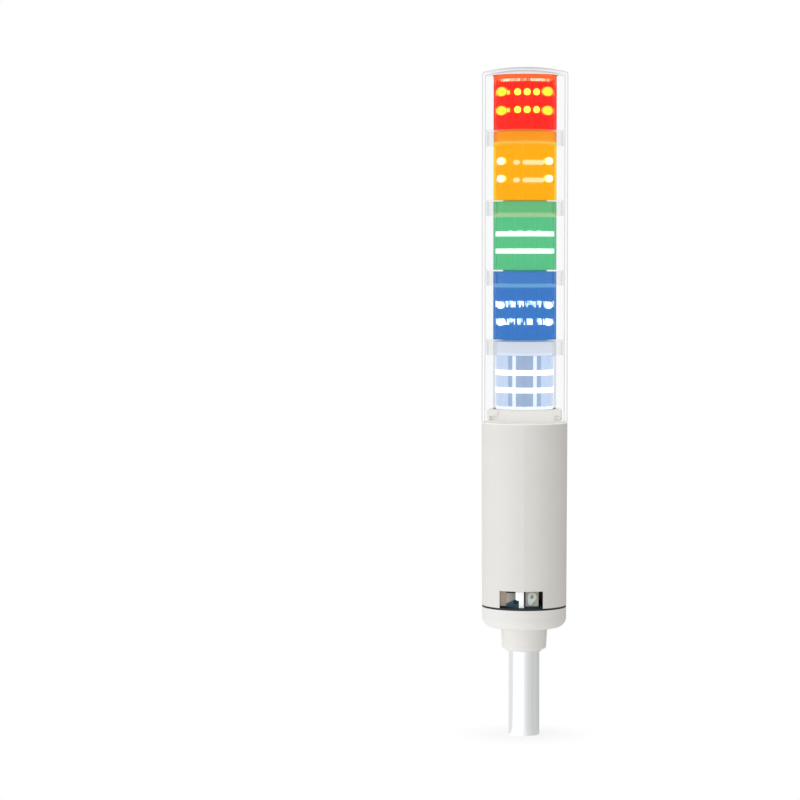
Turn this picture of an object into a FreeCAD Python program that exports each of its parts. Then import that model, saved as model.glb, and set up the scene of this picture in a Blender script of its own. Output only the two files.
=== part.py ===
import FreeCAD, Part
import math
import os

# Five-tier LED stack light on a pole, in millimetres.
# The axis of the light is Z, the origin is the centre of the pole's lower end and the front faces -Y.
# Angles round the axis are in degrees from the front, growing towards +X.

# ---- pole -----------------------------------------------------------------------------------
POLE_DIAMETER = 21.7
POLE_WALL = 1.2
POLE_FREE_LENGTH = 59.2
POLE_THREAD_DIAMETER = 20.9
THREAD_PLAY = 0.05

# ---- base cap with its collar ---------------------------------------------------------------
COLLAR_HEIGHT = 16.6
COLLAR_TOP_DIAMETER = 32.5
COLLAR_DRAFT = 0.75
COLLAR_CORNER = 1.6
COLLAR_LIP_WALL = 1.9
COLLAR_LIP_HEIGHT = 0.8
COLLAR_SLOPE_HEIGHT = 0.9
CAP_HEIGHT = 14.3
CAP_INSET = 0.1
CAP_CORNER = 7.0
CAP_WALL = 2.4
CAP_FLOOR = 2.5
SOCKET_WALL = 2.5
SOCKET_HEIGHT = 4.3
LOCKNUT_WIDTH = 24.5
LOCKNUT_HEIGHT = 3.5
POLE_END_STAND = 0.6

# ---- screws of the cap ----------------------------------------------------------------------
CAP_SCREW_ANGLES = (75.0, 180.0, 285.0)
CAP_SCREW_CIRCLE = 18.6
CAP_SCREW_DIAMETER = 3.0
CAP_SCREW_HEAD = 5.6
CAP_SCREW_HEAD_HEIGHT = 2.0
CAP_SCREW_LENGTH = 22.0
CAP_BOSS_DIAMETER = 8.0
HOUSING_BOSS_DIAMETER = 7.0
HOUSING_BOSS_LENGTH = 18.0
SCREW_SEAT_DEPTH = 4.0
SCREW_CLEARANCE = 0.2
BOSS_RIB = 2.0

# ---- housing --------------------------------------------------------------------------------
GASKET_THICKNESS = 1.4
GASKET_WIDTH = 2.2
HOUSING_LENGTH = 127.5
BODY_DIAMETER = 60.0
HOUSING_DRAFT = 0.4
HOUSING_WALL = 2.2
SHOULDER_THICKNESS = 2.5
NECK_HEIGHT = 10.0
NECK_GAP = 1.8
NECK_WALL = 2.6
NECK_TOP_ROUND = 2.0
NECK_ROOT = 1.3
DECK_THICKNESS = 2.5
SEAL_WIDTH = 1.6
SEAL_THICKNESS = 0.6

# ---- bayonet between cover and neck ---------------------------------------------------------
BAYONET_ANGLES = (60.0, 180.0, 300.0)
LUG_SPAN = 14.0
LUG_HEIGHT = 2.4
LUG_LIFT = 2.8
LUG_TURN = 22.0
LUG_DEPTH = 0.9
LUG_CLEARANCE = 0.3
LUG_PLAY_ANGLE = 1.5

# ---- control window -------------------------------------------------------------------------
WINDOW_WIDTH = 30.0
WINDOW_HEIGHT = 12.0
WINDOW_OFFSET = -2.0

# ---- boards in the housing ------------------------------------------------------------------
BOARD_THICKNESS = 1.6
CONTROL_BOARD_DROP = 0.6
CONTROL_BOARD_MARGIN = 3.7
CONTROL_BOARD_HOLE = 18.0
MAIN_BOARD_WIDTH = 40.0
MAIN_BOARD_HEIGHT = 110.0
MAIN_BOARD_SETBACK = 11.0
RAIL_START = 22.0
RAIL_GRIP = 1.6
RAIL_WALL = 1.5
RAIL_CLEARANCE = 0.2
RAIL_STOP = 2.2

# ---- parts on the main board ----------------------------------------------------------------
BUZZER_DIAMETER = 30.0
BUZZER_DEPTH = 11.0
BUZZER_HEIGHT_ON_BOARD = 55.0
BUZZER_SOUND_HOLE = 6.0
BUZZER_FACE = 1.0
CAPACITOR_DIAMETER = 8.0
CAPACITOR_LENGTH = 12.0
CAPACITOR_SPACING = 16.0
CAPACITOR_BELOW_TOP = 20.0
TERMINAL_WIDTH = 30.0
TERMINAL_DEPTH = 9.0
TERMINAL_HEIGHT = 9.0
TERMINAL_HEIGHT_ON_BOARD = 16.0
TERMINAL_WAYS = 6
TERMINAL_ENTRY = 3.0
TERMINAL_ENTRY_DEPTH = 6.0

# ---- mode switch and its lever --------------------------------------------------------------
SWITCH_WIDTH = 11.5
SWITCH_DEPTH = 5.0
SWITCH_HEIGHT = 9.4
SWITCH_RIGHT_END = -0.75
LEVER_TRAVEL = 4.0
LEVER_NECK_WIDTH = 1.6
LEVER_NECK_INSET = 0.6
LEVER_NECK_HEIGHT = 2.2
LEVER_NECK_LIFT = 2.0
LEVER_NECK_REACH = 3.0
LEVER_PLAY = 0.15
LEVER_HEAD_WIDTH = 5.8
LEVER_HEAD_HEIGHT = 6.4
LEVER_HEAD_CORNER = 1.4
LEVER_STEM_WIDTH = 3.5
LEVER_STEM_HEIGHT = 5.2
LEVER_THICKNESS = 2.0
LEVER_RIGHT_EDGE = -0.1
LEVER_GAP = 1.5
LEVER_CLEARANCE = 0.3
LEVER_ROUND = 0.6

# ---- volume trimmer and its dial ------------------------------------------------------------
DIAL_OFFSET = 5.5
DIAL_LIFT = 6.7
DIAL_DIAMETER = 6.2
DIAL_THICKNESS = 2.2
DIAL_TAIL = 4.6
DIAL_TAIL_DIAMETER = 2.8
DIAL_TAIL_THICKNESS = 1.4
DIAL_REST_ANGLE = 15.0
DIAL_SLOT_WIDTH = 0.8
DIAL_SLOT_DEPTH = 0.8
DIAL_SHAFT_DIAMETER = 2.0
DIAL_SHAFT_LENGTH = 2.6
DIAL_SHAFT_FIT = 0.05
DIAL_GAP = 0.4
TRIMMER_WIDTH = 9.0
TRIMMER_DEPTH = 4.0
TRIMMER_HEIGHT = 10.0

# ---- light tiers, from the housing upwards --------------------------------------------------
TIER_COLOURS = ("clear", "blue", "green", "amber", "red")
TIER_TURNS = (0.0, 0.0, 0.0, -6.6, -6.6)
TIER_PITCH = 48.5
TOP_TIER_LENGTH = 38.0
LENS_DIAMETER = 44.0
LENS_WALL = 1.6
LENS_LIP = 0.9
LOWER_ROW = 13.5
ROW_SPACING = 12.2
HEAD_SPACE = 9.4
TOP_HEAD_SPACE = 4.9
CORE_DIAMETER = 29.2
CORE_WALL = 1.6
FLANGE_DIAMETER = 39.8
FLANGE_THICKNESS = 2.0
STRIP_THICKNESS = 0.4
STRIP_MARGIN = 0.2
LEDS_PER_ROW = 15
LED_WIDTH = 3.5
LED_HEIGHT = 2.8
LED_DEPTH = 1.6
FIN_THICKNESS = 0.9
FIN_DIAMETER = 39.6
FIN_CLEARANCE = 0.4
REFLECTOR_PLATE = 1.6
REFLECTOR_CLEARANCE = 0.3
SPACER_WEB = 1.2
SPACER_SKIRT_WALL = 1.0
SPACER_SKIRT_HEIGHT = 11.0
LID_SKIRT_HEIGHT = 3.0
LID_CLEARANCE = 0.3
SPACER_CLEARANCE = 0.8
WIRE_SLOT_WIDTH = 10.0
WIRE_SLOT_START = 4.0
WIRE_SLOT_END = 9.0

# ---- tie rod through the tiers --------------------------------------------------------------
ROD_DIAMETER = 4.0
ROD_CLEARANCE = 0.25
ROD_OVERRUN = 1.2
ROD_SEAT_HEIGHT = 18.0
NUT_WIDTH = 7.0
NUT_HEIGHT = 3.2

# ---- clear cover ----------------------------------------------------------------------------
COVER_WALL = 2.0
COVER_HEADROOM = 2.2
DOME_RISE = 3.6
DOME_CORNER = 2.2

# ---- levels worked out from the sizes above -------------------------------------------------
Z_COLLAR = POLE_FREE_LENGTH
Z_CAP = Z_COLLAR + COLLAR_HEIGHT
Z_CAP_FLOOR = Z_CAP + CAP_FLOOR
Z_SOCKET = Z_CAP_FLOOR + SOCKET_HEIGHT
Z_POLE_TOP = Z_SOCKET + LOCKNUT_HEIGHT + POLE_END_STAND
Z_GASKET = Z_CAP + CAP_HEIGHT
Z_HOUSING = Z_GASKET + GASKET_THICKNESS
Z_SHOULDER = Z_HOUSING + HOUSING_LENGTH
Z_DECK = Z_SHOULDER + NECK_HEIGHT
Z_CONTROL_BOARD = Z_HOUSING - CONTROL_BOARD_DROP
Z_ON_CONTROL_BOARD = Z_CONTROL_BOARD + BOARD_THICKNESS
Z_MAIN_BOARD_TOP = Z_ON_CONTROL_BOARD + MAIN_BOARD_HEIGHT
Z_STACK_TOP = Z_DECK + (len(TIER_COLOURS) - 1) * TIER_PITCH + TOP_TIER_LENGTH

POLE_RADIUS = POLE_DIAMETER / 2
THREAD_RADIUS = POLE_THREAD_DIAMETER / 2
THREAD_BORE_RADIUS = THREAD_RADIUS + THREAD_PLAY
BODY_RADIUS = BODY_DIAMETER / 2
HOUSING_FOOT_RADIUS = BODY_RADIUS - HOUSING_DRAFT
CAP_RADIUS = HOUSING_FOOT_RADIUS - CAP_INSET
COVER_BORE_RADIUS = BODY_RADIUS - COVER_WALL
NECK_RADIUS = COVER_BORE_RADIUS - NECK_GAP
SPACER_RADIUS = COVER_BORE_RADIUS - SPACER_CLEARANCE
CONTROL_BOARD_RADIUS = HOUSING_FOOT_RADIUS - HOUSING_WALL - CONTROL_BOARD_MARGIN
LENS_RADIUS = LENS_DIAMETER / 2
LENS_BORE_RADIUS = LENS_RADIUS - LENS_WALL
LED_PITCH = 360.0 / LEDS_PER_ROW
FLAT_TO_CORNER = 1 / math.cos(math.radians(LED_PITCH / 2))
CORE_FLAT = CORE_DIAMETER / 2
STRIP_FLAT = CORE_FLAT + STRIP_THICKNESS

SWITCH_FRONT_Y = -CONTROL_BOARD_RADIUS - LEVER_CLEARANCE + LEVER_GAP


def point(radius, angle, z=0.0):
    """Point at a radius and an angle from the front."""
    turn = math.radians(angle)
    return FreeCAD.Vector(radius * math.sin(turn), -radius * math.cos(turn), z)


def rod(radius, z_low, z_high, centre=None):
    """Upright cylinder between two levels."""
    base = FreeCAD.Vector(0, 0, z_low)
    if centre is not None:
        base = FreeCAD.Vector(centre.x, centre.y, z_low)
    return Part.makeCylinder(radius, z_high - z_low, base)


def tube(outer, inner, z_low, z_high):
    """Upright ring between two levels."""
    return rod(outer, z_low, z_high).cut(rod(inner, z_low, z_high))


def rod_along_y(radius, y_front, y_back, x, z):
    """Cylinder that lies along Y."""
    return Part.makeCylinder(radius, y_back - y_front, FreeCAD.Vector(x, y_front, z), FreeCAD.Vector(0, 1, 0))


def block(x_low, x_high, y_low, y_high, z_low, z_high):
    """Box between six planes."""
    corner = FreeCAD.Vector(x_low, y_low, z_low)
    return Part.makeBox(x_high - x_low, y_high - y_low, z_high - z_low, corner)


def turned(outline, sweep=360.0, start=0.0):
    """Solid turned round the axis from (radius, level) corners; it starts at an angle from the front."""
    corners = [FreeCAD.Vector(radius, 0, z) for radius, z in outline]
    face = Part.Face(Part.makePolygon(corners + corners[:1]))
    solid = face.revolve(FreeCAD.Vector(), FreeCAD.Vector(0, 0, 1), sweep)
    solid.rotate(FreeCAD.Vector(), FreeCAD.Vector(0, 0, 1), start - 90)
    return solid


def sector(inner, outer, z_low, z_high, middle, span):
    """Piece of a ring, centred on an angle."""
    outline = [(inner, z_low), (outer, z_low), (outer, z_high), (inner, z_high)]
    return turned(outline, span, middle - span / 2)


def radial_block(r_low, r_high, width, z_low, z_high, angle):
    """Box that points away from the axis at an angle."""
    solid = block(-width / 2, width / 2, -r_high, -r_low, z_low, z_high)
    solid.rotate(FreeCAD.Vector(), FreeCAD.Vector(0, 0, 1), angle)
    return solid


def prism(sides, flat_radius, z_low, z_high):
    """Upright regular prism with a corner at the front, given its radius to the flats."""
    corner_radius = flat_radius / math.cos(math.pi / sides)
    corners = [point(corner_radius, 360.0 / sides * k, z_low) for k in range(sides)]
    face = Part.Face(Part.makePolygon(corners + corners[:1]))
    return face.extrude(FreeCAD.Vector(0, 0, z_high - z_low))


def round_edges(shape, radius, rim_radius, z):
    """Round the circular edges that have a given radius and level."""
    edges = []
    for edge in shape.Edges:
        if edge.Degenerated or not hasattr(edge.Curve, "Radius"):
            continue
        if abs(edge.Curve.Radius - rim_radius) < 0.001 and abs(edge.Curve.Center.z - z) < 0.001:
            edges.append(edge)
    return shape.makeFillet(radius, edges)


def joined(shapes):
    """One solid from shapes that meet."""
    return shapes[0].multiFuse(shapes[1:]).removeSplitter()


# ---- pole and base --------------------------------------------------------------------------

def make_pole():
    """Tube whose upper end is turned down for its thread; its shoulder meets the collar."""
    bore = POLE_RADIUS - POLE_WALL
    return turned([
        (bore, 0), (POLE_RADIUS, 0), (POLE_RADIUS, Z_COLLAR), (THREAD_RADIUS, Z_COLLAR),
        (THREAD_RADIUS, Z_POLE_TOP), (bore, Z_POLE_TOP)])


def make_pole_locknut():
    nut = prism(6, LOCKNUT_WIDTH / 2, Z_SOCKET, Z_SOCKET + LOCKNUT_HEIGHT)
    return nut.cut(rod(THREAD_BORE_RADIUS, Z_SOCKET, Z_SOCKET + LOCKNUT_HEIGHT))


def make_base_cap():
    """Cup-shaped cap and the tapered collar under it, one moulding."""
    outside = rod(CAP_RADIUS, Z_CAP, Z_GASKET)
    outside = round_edges(outside, CAP_CORNER, CAP_RADIUS, Z_CAP)
    bore = CAP_RADIUS - CAP_WALL
    slope = CAP_CORNER - CAP_WALL
    inside = turned([
        (0, Z_CAP_FLOOR), (bore - slope, Z_CAP_FLOOR), (bore, Z_CAP_FLOOR + slope),
        (bore, Z_GASKET), (0, Z_GASKET)])

    top_radius = COLLAR_TOP_DIAMETER / 2
    foot_radius = top_radius - COLLAR_DRAFT
    lip_radius = THREAD_BORE_RADIUS + COLLAR_LIP_WALL
    z_slope = Z_COLLAR + COLLAR_LIP_HEIGHT
    z_foot = z_slope + COLLAR_SLOPE_HEIGHT
    collar = turned([
        (0, Z_COLLAR), (lip_radius, Z_COLLAR), (lip_radius, z_slope), (foot_radius, z_foot),
        (top_radius, Z_CAP), (top_radius, Z_CAP + CAP_FLOOR / 2), (0, Z_CAP + CAP_FLOOR / 2)])
    collar = round_edges(collar, COLLAR_CORNER, foot_radius, z_foot)
    socket = rod(THREAD_BORE_RADIUS + SOCKET_WALL, Z_CAP_FLOOR - CAP_FLOOR / 2, Z_SOCKET)
    bosses = []
    for angle in CAP_SCREW_ANGLES:
        centre = point(CAP_SCREW_CIRCLE, angle)
        bosses.append(rod(CAP_BOSS_DIAMETER / 2, Z_CAP_FLOOR - CAP_FLOOR / 2, Z_CONTROL_BOARD, centre))
    cap = joined([outside.cut(inside), collar, socket] + bosses)

    cap = cap.cut(rod(THREAD_BORE_RADIUS, Z_COLLAR, Z_SOCKET))
    z_seat = Z_CAP + SCREW_SEAT_DEPTH
    for angle in CAP_SCREW_ANGLES:
        centre = point(CAP_SCREW_CIRCLE, angle)
        cap = cap.cut(rod(CAP_SCREW_DIAMETER / 2 + SCREW_CLEARANCE, Z_CAP, Z_CONTROL_BOARD, centre))
        cap = cap.cut(rod(CAP_SCREW_HEAD / 2 + SCREW_CLEARANCE, Z_CAP, z_seat, centre))
    return cap


def make_cap_screws():
    """Pan-head screws that go up through the cap and the control board into the housing."""
    screws = []
    z_seat = Z_CAP + SCREW_SEAT_DEPTH
    for angle in CAP_SCREW_ANGLES:
        centre = point(CAP_SCREW_CIRCLE, angle)
        head = rod(CAP_SCREW_HEAD / 2, z_seat - CAP_SCREW_HEAD_HEIGHT, z_seat, centre)
        shank = rod(CAP_SCREW_DIAMETER / 2, z_seat - CAP_SCREW_HEAD_HEIGHT, z_seat + CAP_SCREW_LENGTH, centre)
        screws.append(joined([head, shank]))
    return Part.makeCompound(screws)


def make_base_gasket():
    return tube(CAP_RADIUS, CAP_RADIUS - GASKET_WIDTH, Z_GASKET, Z_HOUSING)


# ---- housing --------------------------------------------------------------------------------

def make_housing_shell():
    """Tapered tube with a shoulder, and a narrower neck closed by a deck."""
    z_under_shoulder = Z_SHOULDER - SHOULDER_THICKNESS
    outside = turned([
        (0, Z_HOUSING), (HOUSING_FOOT_RADIUS, Z_HOUSING), (BODY_RADIUS, Z_SHOULDER),
        (NECK_RADIUS + NECK_ROOT, Z_SHOULDER), (NECK_RADIUS, Z_SHOULDER + NECK_ROOT),
        (NECK_RADIUS, Z_DECK), (0, Z_DECK)])
    outside = round_edges(outside, NECK_TOP_ROUND, NECK_RADIUS, Z_DECK)
    neck_bore = NECK_RADIUS - NECK_WALL
    inside = turned([
        (0, Z_HOUSING), (HOUSING_FOOT_RADIUS - HOUSING_WALL, Z_HOUSING),
        (BODY_RADIUS - HOUSING_WALL, z_under_shoulder), (neck_bore, z_under_shoulder),
        (neck_bore, Z_DECK - DECK_THICKNESS), (0, Z_DECK - DECK_THICKNESS)])
    return outside.cut(inside)


def make_board_rails():
    """Two slotted rails on the inner wall that hold the edges of the main board."""
    rails = []
    half_board = MAIN_BOARD_WIDTH / 2
    y_low = MAIN_BOARD_SETBACK - RAIL_CLEARANCE
    y_high = MAIN_BOARD_SETBACK + BOARD_THICKNESS + RAIL_CLEARANCE
    z_low = Z_HOUSING + RAIL_START
    wall_middle = BODY_RADIUS - HOUSING_DRAFT - HOUSING_WALL / 2
    x_wall = math.sqrt(wall_middle ** 2 - (y_high + RAIL_WALL) ** 2)
    for side in (-1, 1):
        x_ends = sorted((side * (half_board - RAIL_GRIP), side * x_wall))
        z_top = Z_MAIN_BOARD_TOP + RAIL_CLEARANCE + RAIL_STOP
        rail = block(x_ends[0], x_ends[1], y_low - RAIL_WALL, y_high + RAIL_WALL, z_low, z_top)
        slot_ends = sorted((0, side * (half_board + RAIL_CLEARANCE)))
        slot = block(slot_ends[0], slot_ends[1], y_low, y_high, z_low, Z_MAIN_BOARD_TOP + RAIL_CLEARANCE)
        rails.append(rail.cut(slot))
    return rails


def bayonet_slot(angle):
    """L-shaped groove in the neck: a lug drops in at one end and turns to its locked place."""
    floor_radius = NECK_RADIUS - LUG_DEPTH - LUG_CLEARANCE
    z_low = Z_SHOULDER + LUG_LIFT - LUG_CLEARANCE
    z_high = Z_SHOULDER + LUG_LIFT + LUG_HEIGHT + LUG_CLEARANCE
    width = LUG_SPAN + 2 * LUG_PLAY_ANGLE
    reach = NECK_RADIUS + NECK_ROOT
    run = sector(floor_radius, reach, z_low, z_high, angle + LUG_TURN / 2, width + LUG_TURN)
    entry = sector(floor_radius, reach, z_low, Z_DECK, angle + LUG_TURN, width)
    return run.fuse(entry)


def make_body_housing():
    parts = [make_housing_shell()] + make_board_rails()
    z_boss_top = Z_HOUSING + HOUSING_BOSS_LENGTH
    rib_end = HOUSING_FOOT_RADIUS - HOUSING_WALL / 2
    for angle in CAP_SCREW_ANGLES:
        centre = point(CAP_SCREW_CIRCLE, angle)
        parts.append(rod(HOUSING_BOSS_DIAMETER / 2, Z_ON_CONTROL_BOARD, z_boss_top, centre))
        parts.append(radial_block(CAP_SCREW_CIRCLE, rib_end, BOSS_RIB, Z_ON_CONTROL_BOARD, z_boss_top, angle))
    housing = joined(parts)

    half_window = WINDOW_WIDTH / 2
    cuts = [block(WINDOW_OFFSET - half_window, WINDOW_OFFSET + half_window, -BODY_RADIUS,
                  -BODY_RADIUS / 2, Z_HOUSING, Z_HOUSING + WINDOW_HEIGHT)]
    for angle in CAP_SCREW_ANGLES:
        centre = point(CAP_SCREW_CIRCLE, angle)
        z_tip = Z_CAP + SCREW_SEAT_DEPTH + CAP_SCREW_LENGTH + SCREW_CLEARANCE
        cuts.append(rod(CAP_SCREW_DIAMETER / 2, Z_ON_CONTROL_BOARD, z_tip, centre))
    cuts.append(rod(ROD_DIAMETER / 2 + ROD_CLEARANCE, Z_DECK - DECK_THICKNESS, Z_DECK))
    cuts.append(wire_slot(Z_DECK - DECK_THICKNESS, Z_DECK))
    for angle in BAYONET_ANGLES:
        cuts.append(bayonet_slot(angle))
    for cut in cuts:
        housing = housing.cut(cut)
    return housing


def wire_slot(z_low, z_high):
    """Slot behind the tie rod, where the tiers' leads go through a floor."""
    half = WIRE_SLOT_WIDTH / 2
    return block(-half, half, WIRE_SLOT_START, WIRE_SLOT_END, z_low, z_high)


def make_cover_seal():
    """Flat seal that lies on the shoulder, under the edge of the cover."""
    middle = COVER_BORE_RADIUS + COVER_WALL / 2
    return tube(middle + SEAL_WIDTH / 2, middle - SEAL_WIDTH / 2, Z_SHOULDER, Z_SHOULDER + SEAL_THICKNESS)


# ---- boards and what is on them -------------------------------------------------------------

def make_control_board():
    """Round board clamped between the bosses of the cap and the housing."""
    board = tube(CONTROL_BOARD_RADIUS, CONTROL_BOARD_HOLE / 2, Z_CONTROL_BOARD, Z_ON_CONTROL_BOARD)
    for angle in CAP_SCREW_ANGLES:
        hole = CAP_SCREW_DIAMETER / 2 + SCREW_CLEARANCE
        board = board.cut(rod(hole, Z_CONTROL_BOARD, Z_ON_CONTROL_BOARD, point(CAP_SCREW_CIRCLE, angle)))
    return board


def make_main_board():
    """Upright board between the rails; it stands on the control board."""
    half = MAIN_BOARD_WIDTH / 2
    y_back = MAIN_BOARD_SETBACK + BOARD_THICKNESS
    return block(-half, half, MAIN_BOARD_SETBACK, y_back, Z_ON_CONTROL_BOARD, Z_MAIN_BOARD_TOP)


def make_buzzer():
    """Round sounder can on the main board, with a sound hole in its face."""
    z = Z_ON_CONTROL_BOARD + BUZZER_HEIGHT_ON_BOARD
    y_front = MAIN_BOARD_SETBACK - BUZZER_DEPTH
    can = rod_along_y(BUZZER_DIAMETER / 2, y_front, MAIN_BOARD_SETBACK, 0, z)
    return can.cut(rod_along_y(BUZZER_SOUND_HOLE / 2, y_front, MAIN_BOARD_SETBACK - BUZZER_FACE, 0, z))


def make_capacitors():
    z = Z_MAIN_BOARD_TOP - CAPACITOR_BELOW_TOP
    y_front = MAIN_BOARD_SETBACK - CAPACITOR_LENGTH
    cans = []
    for side in (-1, 1):
        x = side * CAPACITOR_SPACING / 2
        cans.append(rod_along_y(CAPACITOR_DIAMETER / 2, y_front, MAIN_BOARD_SETBACK, x, z))
    return Part.makeCompound(cans)


def make_terminal_block():
    """Block where the leads from the pole end; they enter from below."""
    z_low = Z_ON_CONTROL_BOARD + TERMINAL_HEIGHT_ON_BOARD
    half = TERMINAL_WIDTH / 2
    y_front = MAIN_BOARD_SETBACK - TERMINAL_DEPTH
    body = block(-half, half, y_front, MAIN_BOARD_SETBACK, z_low, z_low + TERMINAL_HEIGHT)
    pitch = TERMINAL_WIDTH / TERMINAL_WAYS
    y_middle = y_front + TERMINAL_DEPTH / 2
    for way in range(TERMINAL_WAYS):
        x_low = -half + pitch * way + (pitch - TERMINAL_ENTRY) / 2
        body = body.cut(block(x_low, x_low + TERMINAL_ENTRY, y_middle - TERMINAL_ENTRY / 2,
                              y_middle + TERMINAL_ENTRY / 2, z_low, z_low + TERMINAL_ENTRY_DEPTH))
    return body


def make_mode_switch():
    """Slide switch at the front edge of the control board, with a slot for its lever."""
    x_low = SWITCH_RIGHT_END - SWITCH_WIDTH
    z_low = Z_ON_CONTROL_BOARD
    body = block(x_low, SWITCH_RIGHT_END, SWITCH_FRONT_Y, SWITCH_FRONT_Y + SWITCH_DEPTH,
                 z_low, z_low + SWITCH_HEIGHT)
    neck = lever_neck_box(LEVER_PLAY)
    y_slot = SWITCH_FRONT_Y + LEVER_NECK_REACH + LEVER_PLAY
    return body.cut(block(neck[0] - LEVER_TRAVEL, neck[1], SWITCH_FRONT_Y, y_slot, neck[2], neck[3]))


def lever_neck_box(play):
    """Sides and levels of the lever's neck, with play all round."""
    x_low = LEVER_RIGHT_EDGE - LEVER_STEM_WIDTH + LEVER_NECK_INSET
    x_high = x_low + LEVER_NECK_WIDTH
    z_low = Z_ON_CONTROL_BOARD + LEVER_NECK_LIFT
    return (x_low - play, x_high + play, z_low - play, z_low + LEVER_NECK_HEIGHT + play)


def make_switch_lever():
    """Bent white lever: a broad head above a narrow stem, and a neck into the switch."""
    y_front = SWITCH_FRONT_Y - LEVER_GAP - LEVER_THICKNESS
    y_back = y_front + LEVER_THICKNESS
    z_head = Z_HOUSING + LEVER_PLAY + LEVER_STEM_HEIGHT
    x_right = LEVER_RIGHT_EDGE
    x_left = x_right - LEVER_HEAD_WIDTH
    head = block(x_left, x_right, y_front, y_back, z_head, z_head + LEVER_HEAD_HEIGHT)
    left_edges = [edge for edge in head.Edges if edge.CenterOfMass.x < x_left + 0.001]
    chin = min(left_edges, key=lambda edge: edge.CenterOfMass.z)
    head = head.makeFillet(LEVER_HEAD_CORNER, [chin])
    stem = block(x_right - LEVER_STEM_WIDTH, x_right, y_front, y_back, Z_HOUSING + LEVER_PLAY, z_head)
    plate = joined([head, stem])
    front_edges = [edge for edge in plate.Edges if abs(edge.CenterOfMass.y - y_front) < 0.001]
    plate = plate.makeFillet(LEVER_ROUND, front_edges)
    neck = lever_neck_box(0)
    tongue = block(neck[0], neck[1], y_back, SWITCH_FRONT_Y + LEVER_NECK_REACH, neck[2], neck[3])
    return joined([plate, tongue])


def make_volume_trimmer():
    """Square body of the volume trimmer, with the bore that its dial turns in."""
    z_low = Z_ON_CONTROL_BOARD
    half = TRIMMER_WIDTH / 2
    body = block(DIAL_OFFSET - half, DIAL_OFFSET + half, SWITCH_FRONT_Y + DIAL_THICKNESS,
                 SWITCH_FRONT_Y + DIAL_THICKNESS + TRIMMER_DEPTH, z_low, z_low + TRIMMER_HEIGHT)
    y_face = SWITCH_FRONT_Y + DIAL_THICKNESS
    y_end = y_face + DIAL_SHAFT_LENGTH
    bore = DIAL_SHAFT_DIAMETER / 2 + DIAL_SHAFT_FIT
    return body.cut(rod_along_y(bore, y_face, y_end, DIAL_OFFSET, z_low + DIAL_LIFT))


def make_volume_dial():
    """Round dial with a screwdriver slot, a tapered tail for a pointer and a shaft."""
    z = Z_ON_CONTROL_BOARD + DIAL_LIFT
    y_back = SWITCH_FRONT_Y + DIAL_THICKNESS - DIAL_GAP
    y_front = y_back - DIAL_THICKNESS
    y_tail = y_back - DIAL_TAIL_THICKNESS
    radius = DIAL_DIAMETER / 2
    tip = DIAL_TAIL_DIAMETER / 2
    lean = math.asin((radius - tip) / DIAL_TAIL)
    knob = rod_along_y(radius, y_front, y_back, DIAL_OFFSET, z)
    end = rod_along_y(tip, y_tail, y_back, DIAL_OFFSET, z - DIAL_TAIL)
    corners = []
    for side, reach, drop in ((-1, radius, 0), (-1, tip, DIAL_TAIL), (1, tip, DIAL_TAIL), (1, radius, 0)):
        x = DIAL_OFFSET + side * reach * math.cos(lean)
        corners.append(FreeCAD.Vector(x, y_tail, z - drop - reach * math.sin(lean)))
    outline = Part.Face(Part.makePolygon(corners + corners[:1]))
    web = outline.extrude(FreeCAD.Vector(0, DIAL_TAIL_THICKNESS, 0))
    shaft_end = SWITCH_FRONT_Y + DIAL_THICKNESS + DIAL_SHAFT_LENGTH - DIAL_GAP
    shaft = rod_along_y(DIAL_SHAFT_DIAMETER / 2, y_back, shaft_end, DIAL_OFFSET, z)
    dial = joined([knob, end, web, shaft])
    half_slot = DIAL_SLOT_WIDTH / 2
    slot = block(DIAL_OFFSET - half_slot, DIAL_OFFSET + half_slot, y_front, y_front + DIAL_SLOT_DEPTH,
                 z - radius, z + radius)
    dial = dial.cut(slot)
    dial.rotate(FreeCAD.Vector(DIAL_OFFSET, 0, z), FreeCAD.Vector(0, 1, 0), DIAL_REST_ANGLE)
    return dial


# ---- light tiers ----------------------------------------------------------------------------

def tier_length(index):
    if index == len(TIER_COLOURS) - 1:
        return TOP_TIER_LENGTH
    return TIER_PITCH


def turned_tier(index, shape):
    """The inner pieces of a tier, turned together on the tie rod."""
    shape.rotate(FreeCAD.Vector(), FreeCAD.Vector(0, 0, 1), TIER_TURNS[index])
    return shape


def plate_level(index):
    """Height of the reflector plate's underside above the foot of its tier."""
    head = HEAD_SPACE
    if index == len(TIER_COLOURS) - 1:
        head = TOP_HEAD_SPACE
    return tier_length(index) - head - REFLECTOR_PLATE


def make_lens(index, z_foot):
    """Coloured tube under its spacer; the top one reaches the end of the stack and has a flared lip."""
    if index < len(TIER_COLOURS) - 1:
        return tube(LENS_RADIUS, LENS_BORE_RADIUS, z_foot, z_foot + TIER_PITCH - SPACER_WEB)
    return turned([
        (LENS_BORE_RADIUS, z_foot), (LENS_RADIUS, z_foot), (LENS_RADIUS, Z_STACK_TOP - LENS_LIP),
        (LENS_RADIUS + LENS_LIP, Z_STACK_TOP), (LENS_BORE_RADIUS, Z_STACK_TOP)])


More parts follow.
